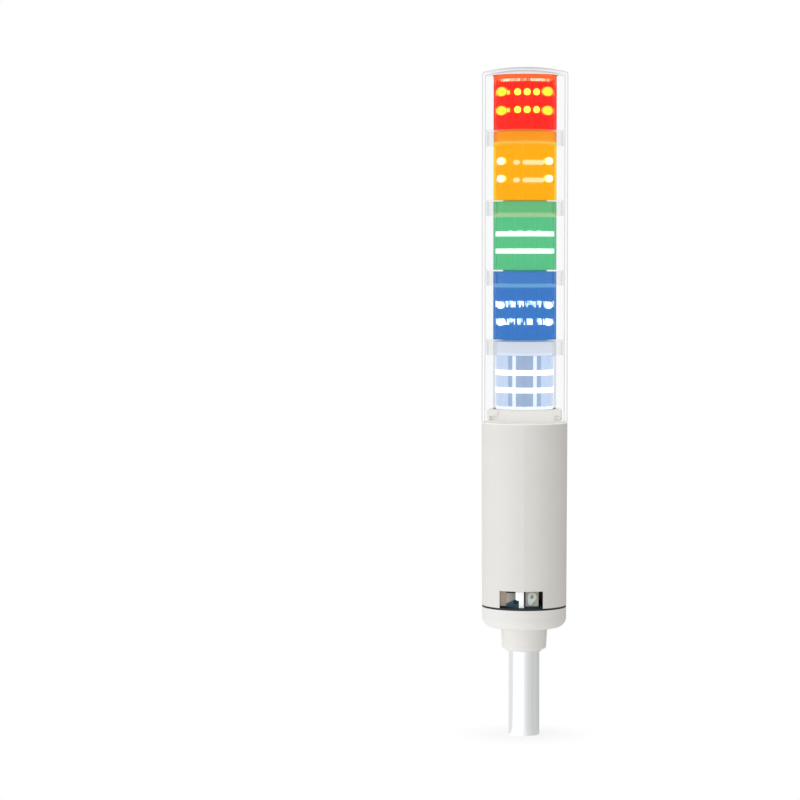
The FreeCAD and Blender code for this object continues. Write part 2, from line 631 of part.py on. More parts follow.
def make_core(index, z_foot):
    """White core tube with a flat for each LED, on a flange that is the foot of its tier."""
    z_top = z_foot + tier_length(index)
    if index == len(TIER_COLOURS) - 1:
        z_top -= SPACER_WEB
    flange = rod(FLANGE_DIAMETER / 2, z_foot, z_foot + FLANGE_THICKNESS)
    core = joined([flange, prism(LEDS_PER_ROW, CORE_FLAT, z_foot, z_top)])
    z_floor = z_foot + FLANGE_THICKNESS
    if index == len(TIER_COLOURS) - 1:
        z_floor = z_foot + ROD_SEAT_HEIGHT
        z_under = z_floor - FLANGE_THICKNESS
        core = core.cut(prism(LEDS_PER_ROW, CORE_FLAT - CORE_WALL, z_foot + FLANGE_THICKNESS, z_under))
    core = core.cut(prism(LEDS_PER_ROW, CORE_FLAT - CORE_WALL, z_floor, z_top))
    core = core.cut(rod(ROD_DIAMETER / 2 + ROD_CLEARANCE, z_foot, z_floor))
    return core.cut(wire_slot(z_foot, z_foot + FLANGE_THICKNESS))


def make_led_strip(index, z_foot):
    """Flexible board folded round the core, flat by flat."""
    z_low = z_foot + FLANGE_THICKNESS
    z_high = z_foot + plate_level(index) - STRIP_MARGIN
    strip = prism(LEDS_PER_ROW, STRIP_FLAT, z_low, z_high)
    return strip.cut(prism(LEDS_PER_ROW, CORE_FLAT, z_low, z_high))


def make_leds(z_foot):
    """Two rows of LEDs round the strip, each between two fins."""
    leds = []
    for row in range(2):
        z = z_foot + LOWER_ROW + row * ROW_SPACING
        for k in range(LEDS_PER_ROW):
            leds.append(radial_block(STRIP_FLAT, STRIP_FLAT + LED_DEPTH, LED_WIDTH,
                                     z - LED_HEIGHT / 2, z + LED_HEIGHT / 2, LED_PITCH * (k + 0.5)))
    return Part.makeCompound(leds)


def make_reflector(index, z_foot):
    """Comb of upright fins under a ring plate; each fin stands at a corner of the core."""
    z_plate = z_foot + plate_level(index)
    z_top = z_plate + REFLECTOR_PLATE
    plate = rod(FLANGE_DIAMETER / 2, z_plate, z_top)
    plate = plate.cut(prism(LEDS_PER_ROW, STRIP_FLAT + REFLECTOR_CLEARANCE, z_plate, z_top))
    fin_root = STRIP_FLAT * FLAT_TO_CORNER + FIN_CLEARANCE
    fins = []
    for k in range(LEDS_PER_ROW):
        fins.append(radial_block(fin_root, FIN_DIAMETER / 2, FIN_THICKNESS,
                                 z_foot + FLANGE_THICKNESS, z_plate, LED_PITCH * k))
    return joined([plate] + fins)


def make_top_plate():
    """Clear lid on the top core, with a short skirt that centres it in the top lens."""
    radius = LENS_BORE_RADIUS - LID_CLEARANCE
    bore = radius - SPACER_SKIRT_WALL
    z_web = Z_STACK_TOP - SPACER_WEB
    z_skirt = Z_STACK_TOP - LID_SKIRT_HEIGHT
    return turned([
        (0, z_web), (bore, z_web), (bore, z_skirt), (radius, z_skirt), (radius, Z_STACK_TOP),
        (0, Z_STACK_TOP)])


def make_spacer(z_top):
    """Clear flanged ring between two tiers: it centres the stack in the cover."""
    bore = CORE_FLAT * FLAT_TO_CORNER + REFLECTOR_CLEARANCE
    skirt_bore = SPACER_RADIUS - SPACER_SKIRT_WALL
    z_skirt = z_top - SPACER_SKIRT_HEIGHT
    return turned([
        (bore, z_top - SPACER_WEB), (skirt_bore, z_top - SPACER_WEB), (skirt_bore, z_skirt),
        (SPACER_RADIUS, z_skirt), (SPACER_RADIUS, z_top), (bore, z_top)])


# ---- tie rod --------------------------------------------------------------------------------

def nut_seats():
    """Levels of the deck's underside and of the seat in the top core."""
    z_top_tier = Z_DECK + (len(TIER_COLOURS) - 1) * TIER_PITCH
    return Z_DECK - DECK_THICKNESS, z_top_tier + ROD_SEAT_HEIGHT


def make_tie_rod():
    z_low, z_high = nut_seats()
    reach = NUT_HEIGHT + ROD_OVERRUN
    return rod(ROD_DIAMETER / 2, z_low - reach, z_high + reach)


def make_rod_nuts():
    z_low, z_high = nut_seats()
    nuts = []
    for z in (z_low - NUT_HEIGHT, z_high):
        bore = rod(ROD_DIAMETER / 2 + THREAD_PLAY, z, z + NUT_HEIGHT)
        nuts.append(prism(6, NUT_WIDTH / 2, z, z + NUT_HEIGHT).cut(bore))
    return Part.makeCompound(nuts)


# ---- clear cover ----------------------------------------------------------------------------

def domed_rod(radius, z_low, z_rim, rise):
    """Cylinder with a shallow spherical top."""
    sphere = (radius ** 2 + rise ** 2) / (2 * rise)
    half_way = z_rim + rise - sphere + math.sqrt(sphere ** 2 - radius ** 2 / 4)
    foot = FreeCAD.Vector(0, 0, z_low)
    side_low = FreeCAD.Vector(radius, 0, z_low)
    side_high = FreeCAD.Vector(radius, 0, z_rim)
    on_dome = FreeCAD.Vector(radius / 2, 0, half_way)
    apex = FreeCAD.Vector(0, 0, z_rim + rise)
    edges = [Part.makeLine(foot, side_low), Part.makeLine(side_low, side_high),
             Part.Arc(side_high, on_dome, apex).toShape(), Part.makeLine(apex, foot)]
    return Part.Face(Part.Wire(edges)).revolve(FreeCAD.Vector(), FreeCAD.Vector(0, 0, 1), 360)


def make_clear_cover():
    """Domed tube that stands on the seal, with three bayonet lugs inside its lower edge."""
    z_low = Z_SHOULDER + SEAL_THICKNESS
    z_rim = Z_STACK_TOP + COVER_HEADROOM
    outside = domed_rod(BODY_RADIUS, z_low, z_rim, DOME_RISE)
    outside = round_edges(outside, DOME_CORNER, BODY_RADIUS, z_rim)
    cover = outside.cut(domed_rod(COVER_BORE_RADIUS, z_low, z_rim - COVER_WALL, DOME_RISE))
    lugs = []
    for angle in BAYONET_ANGLES:
        z_lug = Z_SHOULDER + LUG_LIFT
        lugs.append(sector(NECK_RADIUS - LUG_DEPTH, COVER_BORE_RADIUS + COVER_WALL / 4,
                           z_lug, z_lug + LUG_HEIGHT, angle, LUG_SPAN))
    return joined([cover] + lugs)


def save(name, shape):
    shape.exportStep("parts/" + name + ".step")


def main():
    os.makedirs("parts", exist_ok=True)
    save("pole", make_pole())
    save("pole_locknut", make_pole_locknut())
    save("base_cap", make_base_cap())
    save("cap_screws", make_cap_screws())
    save("base_gasket", make_base_gasket())
    save("body_housing", make_body_housing())
    save("cover_seal", make_cover_seal())
    save("control_board", make_control_board())
    save("main_board", make_main_board())
    save("buzzer", make_buzzer())
    save("capacitors", make_capacitors())
    save("terminal_block", make_terminal_block())
    save("mode_switch", make_mode_switch())
    save("switch_lever", make_switch_lever())
    save("volume_trimmer", make_volume_trimmer())
    save("volume_dial", make_volume_dial())
    for index, colour in enumerate(TIER_COLOURS):
        z_foot = Z_DECK + index * TIER_PITCH
        save("lens_" + colour, make_lens(index, z_foot))
        save("core_" + colour, turned_tier(index, make_core(index, z_foot)))
        save("led_strip_" + colour, turned_tier(index, make_led_strip(index, z_foot)))
        save("leds_" + colour, turned_tier(index, make_leds(z_foot)))
        save("reflector_" + colour, turned_tier(index, make_reflector(index, z_foot)))
        if index < len(TIER_COLOURS) - 1:
            save("spacer_" + colour, make_spacer(z_foot + TIER_PITCH))
    save("top_plate", make_top_plate())
    save("tie_rod", make_tie_rod())
    save("rod_nuts", make_rod_nuts())
    save("clear_cover", make_clear_cover())


main()
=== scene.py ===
import math

import bmesh
import bpy
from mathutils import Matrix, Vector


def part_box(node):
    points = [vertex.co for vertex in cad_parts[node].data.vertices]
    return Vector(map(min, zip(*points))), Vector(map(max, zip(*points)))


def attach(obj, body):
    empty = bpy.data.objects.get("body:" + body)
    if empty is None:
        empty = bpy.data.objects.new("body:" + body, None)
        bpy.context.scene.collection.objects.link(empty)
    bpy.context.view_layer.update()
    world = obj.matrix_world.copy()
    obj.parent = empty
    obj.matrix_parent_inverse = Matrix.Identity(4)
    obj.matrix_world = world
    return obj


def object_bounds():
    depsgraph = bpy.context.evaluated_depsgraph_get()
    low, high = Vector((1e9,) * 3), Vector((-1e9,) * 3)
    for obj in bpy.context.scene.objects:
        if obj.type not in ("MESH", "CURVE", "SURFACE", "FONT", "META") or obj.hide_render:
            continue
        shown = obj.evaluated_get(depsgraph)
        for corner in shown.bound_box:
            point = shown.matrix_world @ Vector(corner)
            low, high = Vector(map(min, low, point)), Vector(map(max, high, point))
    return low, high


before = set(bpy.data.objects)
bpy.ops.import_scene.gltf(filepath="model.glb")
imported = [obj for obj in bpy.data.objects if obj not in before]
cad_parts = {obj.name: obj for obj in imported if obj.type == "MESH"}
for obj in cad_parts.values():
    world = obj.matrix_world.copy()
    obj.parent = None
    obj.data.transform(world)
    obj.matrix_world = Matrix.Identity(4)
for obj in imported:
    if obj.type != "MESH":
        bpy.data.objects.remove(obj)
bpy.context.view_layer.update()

# Lengths are in metres. Azimuths are in degrees, counted from the front towards +X.
# Colours are linear red, green and blue.

# tiers from the bottom to the top
COLOURS = ("clear", "blue", "green", "amber", "red")
WHITE = (1.0, 1.0, 1.0)
BLACK = (0.0, 0.0, 0.0)
PALE = (0.9, 0.9, 0.9)
# how noise is stretched along the axes
EVEN = (1.0, 1.0, 1.0)
ALONG_Z = (1.0, 1.0, 0.01)

# ---- camera ---------------------------------------------------------------------------------

CAMERA_PLACE = (0.0, -2.063, 0.339)
CAMERA_LENS = 132.75
CAMERA_SENSOR = 36.0
CAMERA_PITCH = 2.89
CAMERA_YAW = 2.42
CAMERA_NEAR = 0.05
CAMERA_FAR = 50.0

# ---- room and floor -------------------------------------------------------------------------

ROOM_PEAK = 1.3
# azimuth and light level of the room
ROOM_LEVELS = (
    (-180, 0.85), (-150, 0.74), (-125, 0.71), (-94, 0.72), (-77, 1.0), (-65, 1.2), (-35, 0.98),
    (-12, 1.0), (0, 0.84), (12, 0.74), (28, 0.62), (45, 0.60), (60, 0.53), (90, 0.54), (115, 0.50),
    (135, 0.44), (155, 0.55),
)
# tone of the room's light where it is dim, and how it shifts where it is bright
ROOM_WARM = (1.0, 0.985, 0.965)
ROOM_SHIFT = (-0.02, 0.015, 0.06)
ROOM_DIM = 0.5
FLOOR_LIGHT = 1.2
FLOOR_HALF = 4.0
FLOOR_DROP = 0.0003
SHADOW_START = 0.0109
SHADOW_END = 0.05
SHADOW_WHITENESS = 0.82

# ---- finishes -------------------------------------------------------------------------------

# most values of a noise lie between these two
NOISE_LOW = 0.3
NOISE_HIGH = 0.7
METAL_RELIEF = 0.000003
CLEAR_IOR = 1.0
CLEAR_COAT = 0.12
CLEAR_COAT_ROUGHNESS = 0.04
CLEAR_FLOW = (1.0, 1.0, 0.3)
EDGE_SPAN = 0.15
LENS_EDGE_START = 0.56
COVER_EDGE_START = 0.75
SPOT_CORE = 0.85
SPOT_RIM = 1.1
BODY_TONE = (0.785, 0.765, 0.72)
CAP_TONE = (0.835, 0.815, 0.775)
# level of the housing's shoulder, where the neck starts
SHOULDER_LEVEL = 0.219
# how soft the lower edge of the neck's painted glow is, and the strength of that glow, which brightens the
# neck inside the cover
NECK_SOFT = 0.0008
NECK_PAINTED_GLOW = 0.02

# ---- tiers ----------------------------------------------------------------------------------

# lower and upper row of LEDs above the tier's foot
LED_ROWS = (0.0135, 0.0257)
# lens tint, tint of its top zone with painted light from above mixed in, start of that zone above the
# tier's foot
LENS_TINT = {
    "clear": ((0.97, 0.98, 0.99), (0.90, 0.92, 0.95), 0.0366),
    "blue": ((0.19, 0.41, 0.70), (0.26, 0.48, 0.76), 0.0378),
    "green": ((0.30, 0.695, 0.465), (0.42, 0.69, 0.42), 0.0380),
    "amber": ((1.0, 0.66, 0.02), (1.0, 0.54, 0.025), 0.0396),
    "red": ((1.0, 0.14, 0.11), (1.0, 0.24, 0.09), 0.0314),
}
# tone of the lens wall seen edge-on, and of its top zone, with its painted light, seen edge-on
LENS_EDGE = {
    "clear": ((0.72, 0.74, 0.78), (0.72, 0.74, 0.78)),
    "blue": ((0.035, 0.188, 0.57), (0.06, 0.21, 0.55)),
    "green": ((0.112, 0.52, 0.243), (0.15, 0.51, 0.18)),
    "amber": ((1.0, 0.62, 0.01), (1.0, 0.29, 0.01)),
    "red": ((1.0, 0.02, 0.012), (1.0, 0.12, 0.02)),
}
# painted light line round the lens: colour, lower and upper level above the tier's foot
LENS_LINE = {
    "blue": ((0.08, 0.12, 0.07), 0.0364, 0.0388),
    "green": ((0.16, 0.05, 0.045), 0.0366, 0.0394),
    "amber": ((0.0, 0.07, 0.05), 0.0386, 0.0406),
}
# painted light spots in the lens wall: colour, half width, half height, azimuths, lifts of the lower and
# upper row
LENS_SPOTS = {
    "blue": ((1.2, 1.2, 1.2), 0.0040, 0.0025, (-52.0, 51.0, 178.0), (-0.0013, -0.0017)),
    "amber": ((1.1, 1.0, 0.9), 0.0044, 0.0026, (-51.0, 51.0, 178.0), (0.0011, 0.0010)),
    "red": ((1.0, 0.80, 0.03), 0.0054, 0.0032, (-50.0, 47.0, 178.0), (-0.0005, 0.0004)),
}
# radius of the middle of the lens wall
LENS_MIDDLE = 0.0212
WALL_SOFT = 0.0004
ZONE_SOFT = 0.0008
LINE_SOFT = 0.0007
# base colour, then colour of the painted glow that stands in for the LEDs' light, of the core, strip and
# reflector
INSIDE = {
    "clear": ((0.08, 0.09, 0.10), (0.28, 0.385, 0.56)),
    "blue": ((0.03, 0.06, 0.10), (0.20, 0.42, 0.72)),
    "green": ((0.05, 0.09, 0.06), (0.31, 0.71, 0.48)),
    "amber": ((0.12, 0.07, 0.01), (0.95, 0.60, 0.045)),
    "red": ((0.10, 0.010, 0.008), (0.95, 0.12, 0.10)),
}
# tone of the painted glow on the spacer's inner edge, which lies between two lenses and shows their light
SPACER_EDGE = {
    "amber": (1.0, 0.32, 0.05),
    "green": (0.58, 0.44, 0.06),
    "blue": (0.08, 0.38, 0.38),
    "clear": (0.33, 0.45, 0.66),
}
SPACER_EDGE_INNER = 0.0215
SPACER_EDGE_OUTER = 0.0225
SPACER_EDGE_SHARE = 0.45
# colour and strength of the LEDs
LED_GLOW = {
    "clear": ((1.1, 1.1, 1.1), 1.0),
    "blue": ((1.4, 1.3, 1.3), 1.0),
    "green": ((1.5, 1.2, 1.3), 1.0),
    "amber": ((0.9, 0.56, 0.1), 0.9),
    "red": ((3.0, 6.2, 0.45), 1.0),
}
LED_BASE = {"amber": (0.15, 0.10, 0.02)}

# ---- optic rings and sleeves ----------------------------------------------------------------

RING_SIDES = 96
RING_STEPS = 8
RING_WALL = 0.02038
RING_LIP = 0.00002
RING_BULGE = 0.00045
RING_MIDDLE = 0.0202
RING_HEIGHT = {"clear": 0.0037, "blue": 0.0040, "green": 0.0034, "amber": 0.0040, "red": 0.0050}
# lift of the lower and the upper ring from its row of LEDs
RING_SHIFT = {
    "clear": (0.0, 0.0),
    "blue": (-0.0009, -0.0010),
    "green": (-0.0005, -0.0008),
    "amber": (0.0002, 0.0),
    "red": (0.0, 0.0),
}
# rings with a painted glow all round
RING_GLOW = {"clear": (1.08, 1.08, 1.08), "green": (3.6, 1.6, 2.3)}
# painted light spots on the other rings: colour, half width, half height, azimuths
RING_SPOTS = {
    "amber": ((0.15, 0.32, 9.0), 0.0026, 0.0018,
              (-17, 2, 10, 18, 26, 34, 120, 129, 138, -120, -111, -102)),
    "red": ((1.0, 6.2, 0.40), 0.0024, 0.0024, (-15, 4, 23, 105, 130, -115, -90)),
}
# colour of the painted sparkles on the blue tier's rings
BLUE_SPARKS = (5.0, 2.4, 1.5)
SLEEVE_BORE = 0.0200
SLEEVE_RADIUS = 0.0203
SLEEVE_CLEAR_GLOW = (0.72, 0.75, 0.82)
PIECE_GAP = 0.0001

# ---- crown, bracket, switch and dial --------------------------------------------------------

# half widths of its prisms are in degrees
CROWN_TEETH = 46
CROWN_RADIUS = 0.0161
CROWN_FOOT_DEPTH = 0.0008
CROWN_HEAD_DEPTH = 0.0006
CROWN_HEAD_SHARE = 0.85
CROWN_SHORTEST = 0.0029
CROWN_RISE = 0.0005
CROWN_NARROWEST = 2.2
CROWN_WIDENING = 1.2
# turns from prism to prism that make their heights and widths uneven, in radians
CROWN_HEIGHT_TURN = 2.4
CROWN_WIDTH_TURN = 1.7
BRACKET_LEFT = -0.0168
BRACKET_FRONT = -0.0205
BRACKET_FOLD = 0.0025
BRACKET_SHEET = 0.0005
BRACKET_RISE = 0.0015
# azimuths over which the clear tier's fins go from shade to bright, and from bright to middling
FIN_BESIDE = (6, 18)
FIN_FURTHER = (30, 42)
PLATE_THICKNESS = 0.0016
PLATE_SOFT = 0.0002
# depth below and height above the clear tier's foot of the brighter band in its core's painted glow
FLANGE_LIGHT_FOOT = 0.001
FLANGE_LIGHT_TOP = 0.0024
# X and Z of the dial's centre
DIAL_CENTRE = (0.0055, 0.0992)
DIAL_DEPTH = 0.0018
DIAL_HUB = 0.0014
DIAL_SHADE_LOW = 0.0970
DIAL_SHADE_HIGH = 0.0982
# the switch's dark base ends at a slope on the left and at a level on the right
SWITCH_SLOPE = 0.49
SWITCH_SLOPE_LEVEL = 0.1006
SWITCH_BASE_TOP = 0.0972
SWITCH_BASE_SOFT = 0.0003
# X between which the frame's painted shade goes from its bright left side to its shaded right side
SWITCH_SHADE = (-0.0125, -0.0075)


# ---- node helpers ---------------------------------------------------------------------------

def new_material(name):
    """A material with its node tree emptied but for one Principled shader and the output."""
    material = bpy.data.materials.new(name)
    material.use_nodes = True
    tree = material.node_tree
    tree.nodes.clear()
    output = tree.nodes.new("ShaderNodeOutputMaterial")
    shader = tree.nodes.new("ShaderNodeBsdfPrincipled")
    tree.links.new(shader.outputs["BSDF"], output.inputs["Surface"])
    return material, tree, shader


def nodes_of(material):
    """Node tree of a material and its Principled shader."""
    tree = material.node_tree
    return tree, tree.nodes["Principled BSDF"]


def set_input(tree, socket, value):
    """Link a socket or set its value."""
    if isinstance(value, bpy.types.NodeSocket):
        tree.links.new(value, socket)
    else:
        socket.default_value = value


def set_glow(shader, colour, strength):
    """Plain emission of a Principled shader."""
    shader.inputs["Emission Color"].default_value = (*colour, 1.0)
    shader.inputs["Emission Strength"].default_value = strength


def maths(tree, operation, first, second=0.0):
    """Result of a sum on one or two numbers."""
    node = tree.nodes.new("ShaderNodeMath")
    node.operation = operation
    set_input(tree, node.inputs[0], first)
    set_input(tree, node.inputs[1], second)
    return node.outputs[0]


def vector_maths(tree, operation, first, second=BLACK):
    """Result of a sum on a linked vector and a plain one."""
    node = tree.nodes.new("ShaderNodeVectorMath")
    node.operation = operation
    tree.links.new(first, node.inputs[0])
    node.inputs[1].default_value = second
    return node.outputs["Value" if operation == "LENGTH" else "Vector"]


def mapped(tree, value, from_low, from_high, to_low, to_high):
    """A value moved from one range to another, held at its ends."""
    node = tree.nodes.new("ShaderNodeMapRange")
    for socket, number in zip(node.inputs, (value, from_low, from_high, to_low, to_high)):
        set_input(tree, socket, number)
    return node.outputs[0]


def rising(tree, value, low, high):
    """Zero below a range, one above it."""
    return mapped(tree, value, low, high, 0.0, 1.0)


def falling(tree, value, low, high):
    """One below a range, zero above it."""
    return mapped(tree, value, low, high, 1.0, 0.0)


def noise_between(tree, value, low, high):
    """Noise spread over a range."""
    return mapped(tree, value, NOISE_LOW, NOISE_HIGH, low, high)


def object_place(tree, stretch=EVEN):
    """Object coordinates, stretched along the axes."""
    coordinates = tree.nodes.new("ShaderNodeTexCoord")
    mapping = tree.nodes.new("ShaderNodeMapping")
    mapping.inputs["Scale"].default_value = stretch
    tree.links.new(coordinates.outputs["Object"], mapping.inputs["Vector"])
    return mapping.outputs["Vector"]


def axes(tree, vector):
    """The three numbers of a vector."""
    split = tree.nodes.new("ShaderNodeSeparateXYZ")
    tree.links.new(vector, split.inputs[0])
    return split.outputs["X"], split.outputs["Y"], split.outputs["Z"]


def height(tree):
    """Height in the object's coordinates."""
    return axes(tree, object_place(tree))[2]


def radius(tree):
    """Distance from the tower's axis."""
    return vector_maths(tree, "LENGTH", object_place(tree, (1.0, 1.0, 0.0)))


def azimuth(tree, across, depth):
    """Angle round the axis in radians, zero at the front."""
    return maths(tree, "ARCTAN2", across, maths(tree, "MULTIPLY", depth, -1.0))


def noise(tree, scale, detail=2.0, stretch=EVEN):
    """Noise in object coordinates; the scale is in waves a metre."""
    node = tree.nodes.new("ShaderNodeTexNoise")
    tree.links.new(object_place(tree, stretch), node.inputs["Vector"])
    node.inputs["Scale"].default_value = scale
    node.inputs["Detail"].default_value = detail
    return node.outputs["Fac"]


def two_colours(tree, factor, first, second):
    """Blend of two colours by a factor."""
    node = tree.nodes.new("ShaderNodeMix")
    node.data_type = "RGBA"
    set_input(tree, node.inputs["Factor"], factor)
    sockets = [socket for socket in node.inputs if socket.type == "RGBA"]
    for socket, colour in zip(sockets, (first, second)):
        linked = isinstance(colour, bpy.types.NodeSocket)
        set_input(tree, socket, colour if linked else (*colour, 1.0))
    return [socket for socket in node.outputs if socket.type == "RGBA"][0]


def shade(colour, factor):
    """A colour made lighter or darker."""
    return tuple(min(1.0, part * factor) for part in colour)


def add_bump(tree, shader, relief, distance):
    """Let a value raise the surface."""
    bump = tree.nodes.new("ShaderNodeBump")
    bump.inputs["Strength"].default_value = 1.0
    bump.inputs["Distance"].default_value = distance
    tree.links.new(relief, bump.inputs["Height"])
    tree.links.new(bump.outputs["Normal"], shader.inputs["Normal"])


def grazing(tree, starts):
    """Zero where a surface faces the eye, one where it is seen edge-on."""
    weight = tree.nodes.new("ShaderNodeLayerWeight")
    return rising(tree, weight.outputs["Facing"], starts, starts + EDGE_SPAN)


def level_band(tree, z_low, z_high, soft=0.0003):
    """One between two levels, zero elsewhere, with soft ends."""
    z = height(tree)
    rise = rising(tree, z, z_low - soft, z_low + soft)
    fall = falling(tree, z, z_high - soft, z_high + soft)
    return maths(tree, "MULTIPLY", rise, fall)


def polar(reach, degrees, z):
    """Point at a distance from the axis, an azimuth and a level."""
    turn = math.radians(degrees)
    return (reach * math.sin(turn), -reach * math.cos(turn), z)


def glow_spot(tree, place, width, tall):
    """One inside an oval spot about a place, zero outside, with a soft edge."""
    offset = vector_maths(tree, "SUBTRACT", object_place(tree), place)
    scaled = vector_maths(tree, "DIVIDE", offset, (width, width, tall))
    return falling(tree, vector_maths(tree, "LENGTH", scaled), SPOT_CORE, SPOT_RIM)


def spot_rows(tree, reach, foot, lifts, angles, width, tall):
    """Spots at several azimuths on both rows of LEDs."""
    mask = None
    for row, lift in zip(LED_ROWS, lifts):
        for degrees in angles:
            spot = glow_spot(tree, polar(reach, degrees, foot + row + lift), width, tall)
            mask = maths(tree, "MAXIMUM", mask, spot) if mask else spot
    return mask


# ---- materials of many nodes ----------------------------------------------------------------

def moulded_plastic(name, colour, roughness=0.4, grain=6000.0, depth=0.00002, mottle=0.03):
    """Spark-textured moulded plastic: fine grain in the bump, faint mottling in tone and gloss."""
    material, tree, shader = new_material(name)
    cloud = noise(tree, 60.0, 3.0)
    shades = two_colours(tree, cloud, shade(colour, 1 - mottle), shade(colour, 1 + mottle))
    tree.links.new(shades, shader.inputs["Base Color"])
    fine = noise(tree, grain, 1.0)
    spread = noise_between(tree, fine, roughness - 0.05, roughness + 0.08)
    tree.links.new(spread, shader.inputs["Roughness"])
    add_bump(tree, shader, fine, depth)
    return material


def drawn_metal(name, colour, roughness=0.2, streak=1500.0, along=ALONG_Z):
    """Metal with fine lines along one axis, or with even grain."""
    material, tree, shader = new_material(name)
    shader.inputs["Metallic"].default_value = 1.0
    lines = noise(tree, streak, 2.0, along)
    shades = two_colours(tree, lines, shade(colour, 0.97), shade(colour, 1.03))
    tree.links.new(shades, shader.inputs["Base Color"])
    spread = noise_between(tree, lines, roughness - 0.04, roughness + 0.06)
    tree.links.new(spread, shader.inputs["Roughness"])
    add_bump(tree, shader, lines, METAL_RELIEF)
    return material


def clear_plastic(name, colour, edge, roughness=0.03, starts=0.62, beyond=0.0):
    """Polished see-through plastic, deeper in tone where its wall is seen edge-on: a deeper tint on tinted
    plastic, a painted edge shade on clear plastic.

    With a radius to go beyond, only the wall outside it takes the edge tone.
    """
    material, tree, shader = new_material(name)
    shader.inputs["Transmission Weight"].default_value = 1.0
    shader.inputs["IOR"].default_value = CLEAR_IOR
    shader.inputs["Coat Weight"].default_value = CLEAR_COAT
    shader.inputs["Coat Roughness"].default_value = CLEAR_COAT_ROUGHNESS
    edge_on = grazing(tree, starts)
    if beyond:
        outside = rising(tree, radius(tree), beyond, beyond + WALL_SOFT)
        edge_on = maths(tree, "MULTIPLY", edge_on, outside)
    tree.links.new(two_colours(tree, edge_on, colour, edge), shader.inputs["Base Color"])
    flow = noise(tree, 25.0, 2.0, CLEAR_FLOW)
    spread = mapped(tree, flow, 0.35, 0.65, roughness * 0.6, roughness * 1.4)
    tree.links.new(spread, shader.inputs["Roughness"])
    return material


def lit(name, colour, strength=1.0, base=PALE):
    """Lit plastic, such as an LED package."""
    material, tree, shader = new_material(name)
    shader.inputs["Base Color"].default_value = (*base, 1.0)
    set_glow(shader, colour, strength)
    spread = noise_between(tree, noise(tree, 900.0, 1.0), 0.25, 0.45)
    tree.links.new(spread, shader.inputs["Roughness"])
    return material


def lit_inside(name, base, glow, strength=1.0):
    """Plastic with a painted glow that stands in for the light falling on it, such as that of the LEDs or
    of the window.
    """
    material = moulded_plastic(name, base, 0.5, 3000.0, 0.00001, 0.04)
    shader = nodes_of(material)[1]
    shader.inputs["Specular IOR Level"].default_value = 0.2
    set_glow(shader, glow, strength)
    return material


# ---- materials of single nodes --------------------------------------------------------------

def tier_foot(colour):
    """Level of a tier's foot."""
    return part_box("core_" + colour)[0][2]


def lens_plastic(colour):
    """Tinted lens with a plainer zone at its top, whose tint has painted light from above mixed in;
    painted light lines round it, and painted light spots where the LEDs shine along its wall.
    """
    tint, zone_tint_and_painted_light, zone_start = LENS_TINT[colour]
    edge, zone_edge_and_painted_light = LENS_EDGE[colour]
    material = clear_plastic("lens_" + colour, tint, edge, 0.04, LENS_EDGE_START, LENS_MIDDLE)
    tree, shader = nodes_of(material)
    foot = tier_foot(colour)
    body_tone = shader.inputs["Base Color"].links[0].from_socket
    zone_tone_and_painted_light = two_colours(tree, grazing(tree, LENS_EDGE_START), zone_tint_and_painted_light, zone_edge_and_painted_light)
    zone = rising(tree, height(tree), foot + zone_start, foot + zone_start + ZONE_SOFT)
    tree.links.new(two_colours(tree, zone, body_tone, zone_tone_and_painted_light), shader.inputs["Base Color"])
    glow = None
    # painted light line, an emission band round the lens
    if colour in LENS_LINE:
        line, low, high = LENS_LINE[colour]
        band = level_band(tree, foot + low, foot + high, LINE_SOFT)
        glow = two_colours(tree, band, BLACK, line)
    # painted light spots where the LEDs shine along the wall
    if colour in LENS_SPOTS:
        bright, width, tall, angles, lifts = LENS_SPOTS[colour]
        mask = spot_rows(tree, LENS_MIDDLE, foot, lifts, angles, width, tall)
        glow = two_colours(tree, mask, glow or BLACK, bright)
    if glow:
        tree.links.new(glow, shader.inputs["Emission Color"])
        shader.inputs["Emission Strength"].default_value = 1.0
    return material


def spacer_plastic(colour):
    """Clear spacer; its inner edge between two lenses is solid, with a painted glow in the tone of their
    light.
    """
    material = clear_plastic("spacer_" + colour, (0.94, 0.945, 0.95), (0.84, 0.84, 0.85), 0.06)
    tree, shader = nodes_of(material)
    clear_tone = shader.inputs["Base Color"].links[0].from_socket
    inner = falling(tree, radius(tree), SPACER_EDGE_INNER, SPACER_EDGE_OUTER)
    painted_edge_light = shade(SPACER_EDGE[colour], SPACER_EDGE_SHARE)
    tree.links.new(two_colours(tree, inner, clear_tone, painted_edge_light), shader.inputs["Base Color"])
    glow = two_colours(tree, inner, BLACK, painted_edge_light)
    tree.links.new(glow, shader.inputs["Emission Color"])
    shader.inputs["Emission Strength"].default_value = 1.0
    clear_share = maths(tree, "SUBTRACT", 1.0, inner)
    tree.links.new(clear_share, shader.inputs["Transmission Weight"])
    return material


def lit_ring(colour):
    """Optic ring with a painted glow all round."""
    material, tree, shader = new_material("ring_" + colour)
    shader.inputs["Base Color"].default_value = (*PALE, 1.0)
    set_glow(shader, RING_GLOW[colour], 1.0)
    spread = noise_between(tree, noise(tree, 200.0, 2.0), 0.2, 0.3)
    tree.links.new(spread, shader.inputs["Roughness"])
    return material


